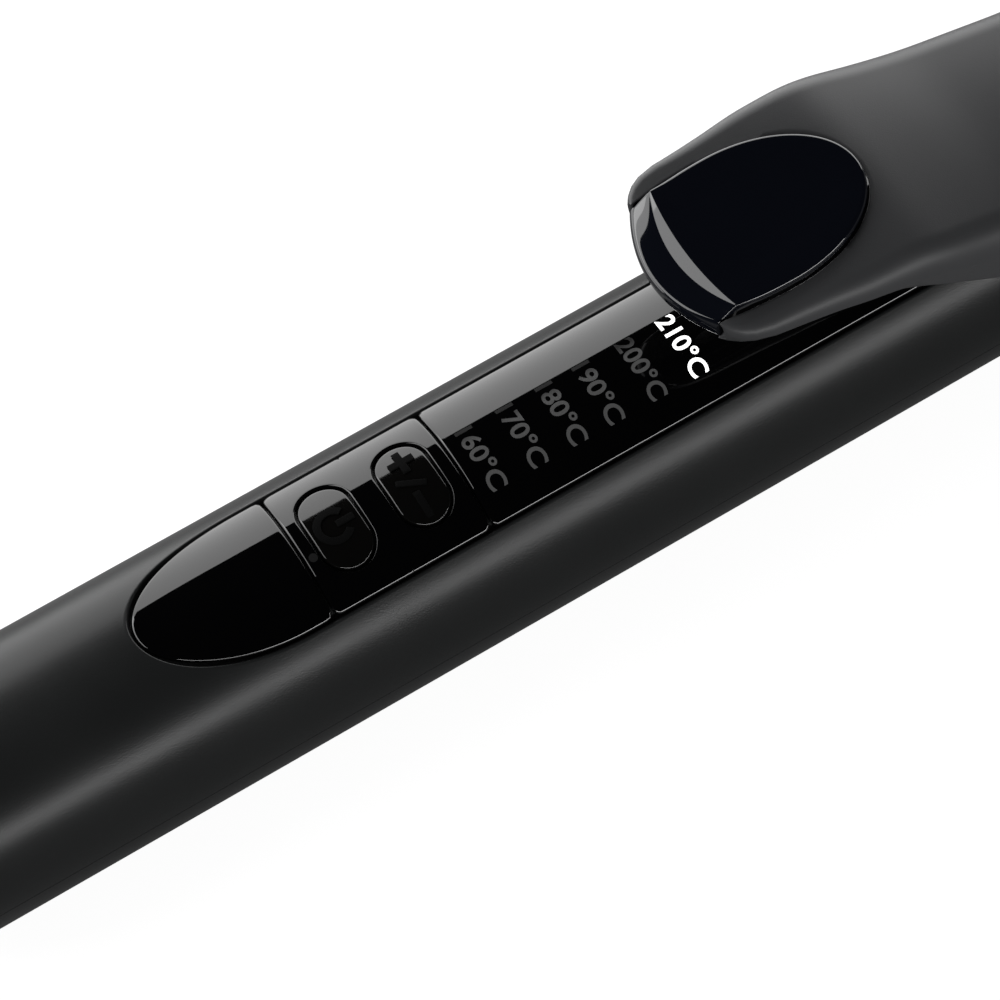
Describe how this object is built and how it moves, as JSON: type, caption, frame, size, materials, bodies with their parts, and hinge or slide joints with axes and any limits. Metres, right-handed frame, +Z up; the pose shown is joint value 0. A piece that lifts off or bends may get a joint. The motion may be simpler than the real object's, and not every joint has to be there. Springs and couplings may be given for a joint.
{
  "type": "curling iron",
  "caption": "Straight-handled hair curling iron: heated round barrel, sprung clamp with a thumb lever, glossy panel with a power button, temperature rocker and scale, fold-out wire stand.",
  "frame": {"origin": "bottom centre of the bounding box; the handle's axis is 17 mm above it", "axes": "+X along the handle towards the barrel's tip, +Z up through the control panel and thumb lever, +Y across the handle"},
  "size_m": [0.35, 0.0366, 0.053],
  "materials": {
    "matte_shell": "fine grained soft-touch black",
    "gloss_inlay": "polished black",
    "button_black": "satin black with printed signs",
    "heat_plastic": "matte black heat-resistant",
    "coated_barrel": "dark satin ceramic coating",
    "coated_clamp": "dark satin ceramic coating",
    "wire_steel": "dark nickel plated wire",
    "steel": "plain steel",
    "brass": "bright",
    "aluminium": "as extruded",
    "board_green": "lacquered circuit board",
    "ceramic_white": "unglazed ceramic",
    "clear_guide": "clear moulded",
    "lamp_white": "white lamp",
    "mica": "pressed mica",
    "lead_grey": "silicone sleeve",
    "white_nylon": "moulded nylon"
  },
  "bodies": {
    "handle": {"upper_shell": "matte_shell", "lower_shell": "matte_shell", "case_screws": "steel", "end_inlay": "gloss_inlay", "button_bezel": "gloss_inlay", "display_window": "gloss_inlay", "rocker_posts": "white_nylon", "control_board": "board_green", "board_screws": "steel", "power_switch": "white_nylon", "rocker_switches": "white_nylon", "display_lamps": "lamp_white", "light_guide": "clear_guide", "indicator_pipe": "clear_guide", "mains_leads": "lead_grey", "heater_leads": "lead_grey", "sensor_lead": "lead_grey", "front_collar": "heat_plastic", "barrel_tube": "coated_barrel", "barrel_tip": "heat_plastic", "insulating_disc": "mica", "heater_element": "ceramic_white", "heat_blocks": "aluminium", "temperature_sensor": "ceramic_white", "thermal_fuse": "aluminium", "pivot_bracket": "steel", "pivot_pin": "steel", "clamp_spring": "steel", "rear_cap": "matte_shell", "contact_holder": "white_nylon", "contact_springs": "brass"},
    "lever": {"lever_body": "matte_shell", "lever_insert": "gloss_inlay", "lever_screws": "steel", "clamp_plate": "coated_clamp", "clamp_rivets": "steel"},
    "power_button": {"power_button": "button_black"},
    "temperature_rocker": {"temperature_rocker": "button_black"},
    "stand": {"stand_wire": "wire_steel"},
    "swivel": {"swivel_socket": "heat_plastic", "slip_rings": "brass"}
  },
  "joints": [
    {"name": "clamp_hinge", "type": "hinge", "parent": "handle", "child": "lever", "pos_m": [0.027, 0, 0.034], "axis": [0, -1, 0], "range_deg": [0, 9.5], "stiffness_Nm_per_rad": 0.6, "springref_deg": -24.98},
    {"name": "power_press", "type": "slide", "parent": "handle", "child": "power_button", "axis": [0, 0, -1], "range_m": [0, 0.0005], "stiffness_N_per_m": 2000, "springref_m": -0.0005},
    {"name": "rocker_tilt", "type": "hinge", "parent": "handle", "child": "temperature_rocker", "pos_m": [-0.0891, 0, 0.0292], "axis": [1, 0, 0], "range_deg": [-3, 3], "stiffness_Nm_per_rad": 0.2},
    {"name": "stand_fold", "type": "hinge", "parent": "handle", "child": "stand", "pos_m": [0.016, 0, 0.014], "axis": [0, 1, 0], "range_deg": [0, 70]},
    {"name": "cord_swivel", "type": "hinge", "parent": "handle", "child": "swivel", "pos_m": [-0.168, 0, 0.017], "axis": [1, 0, 0], "continuous": true}
  ]
}
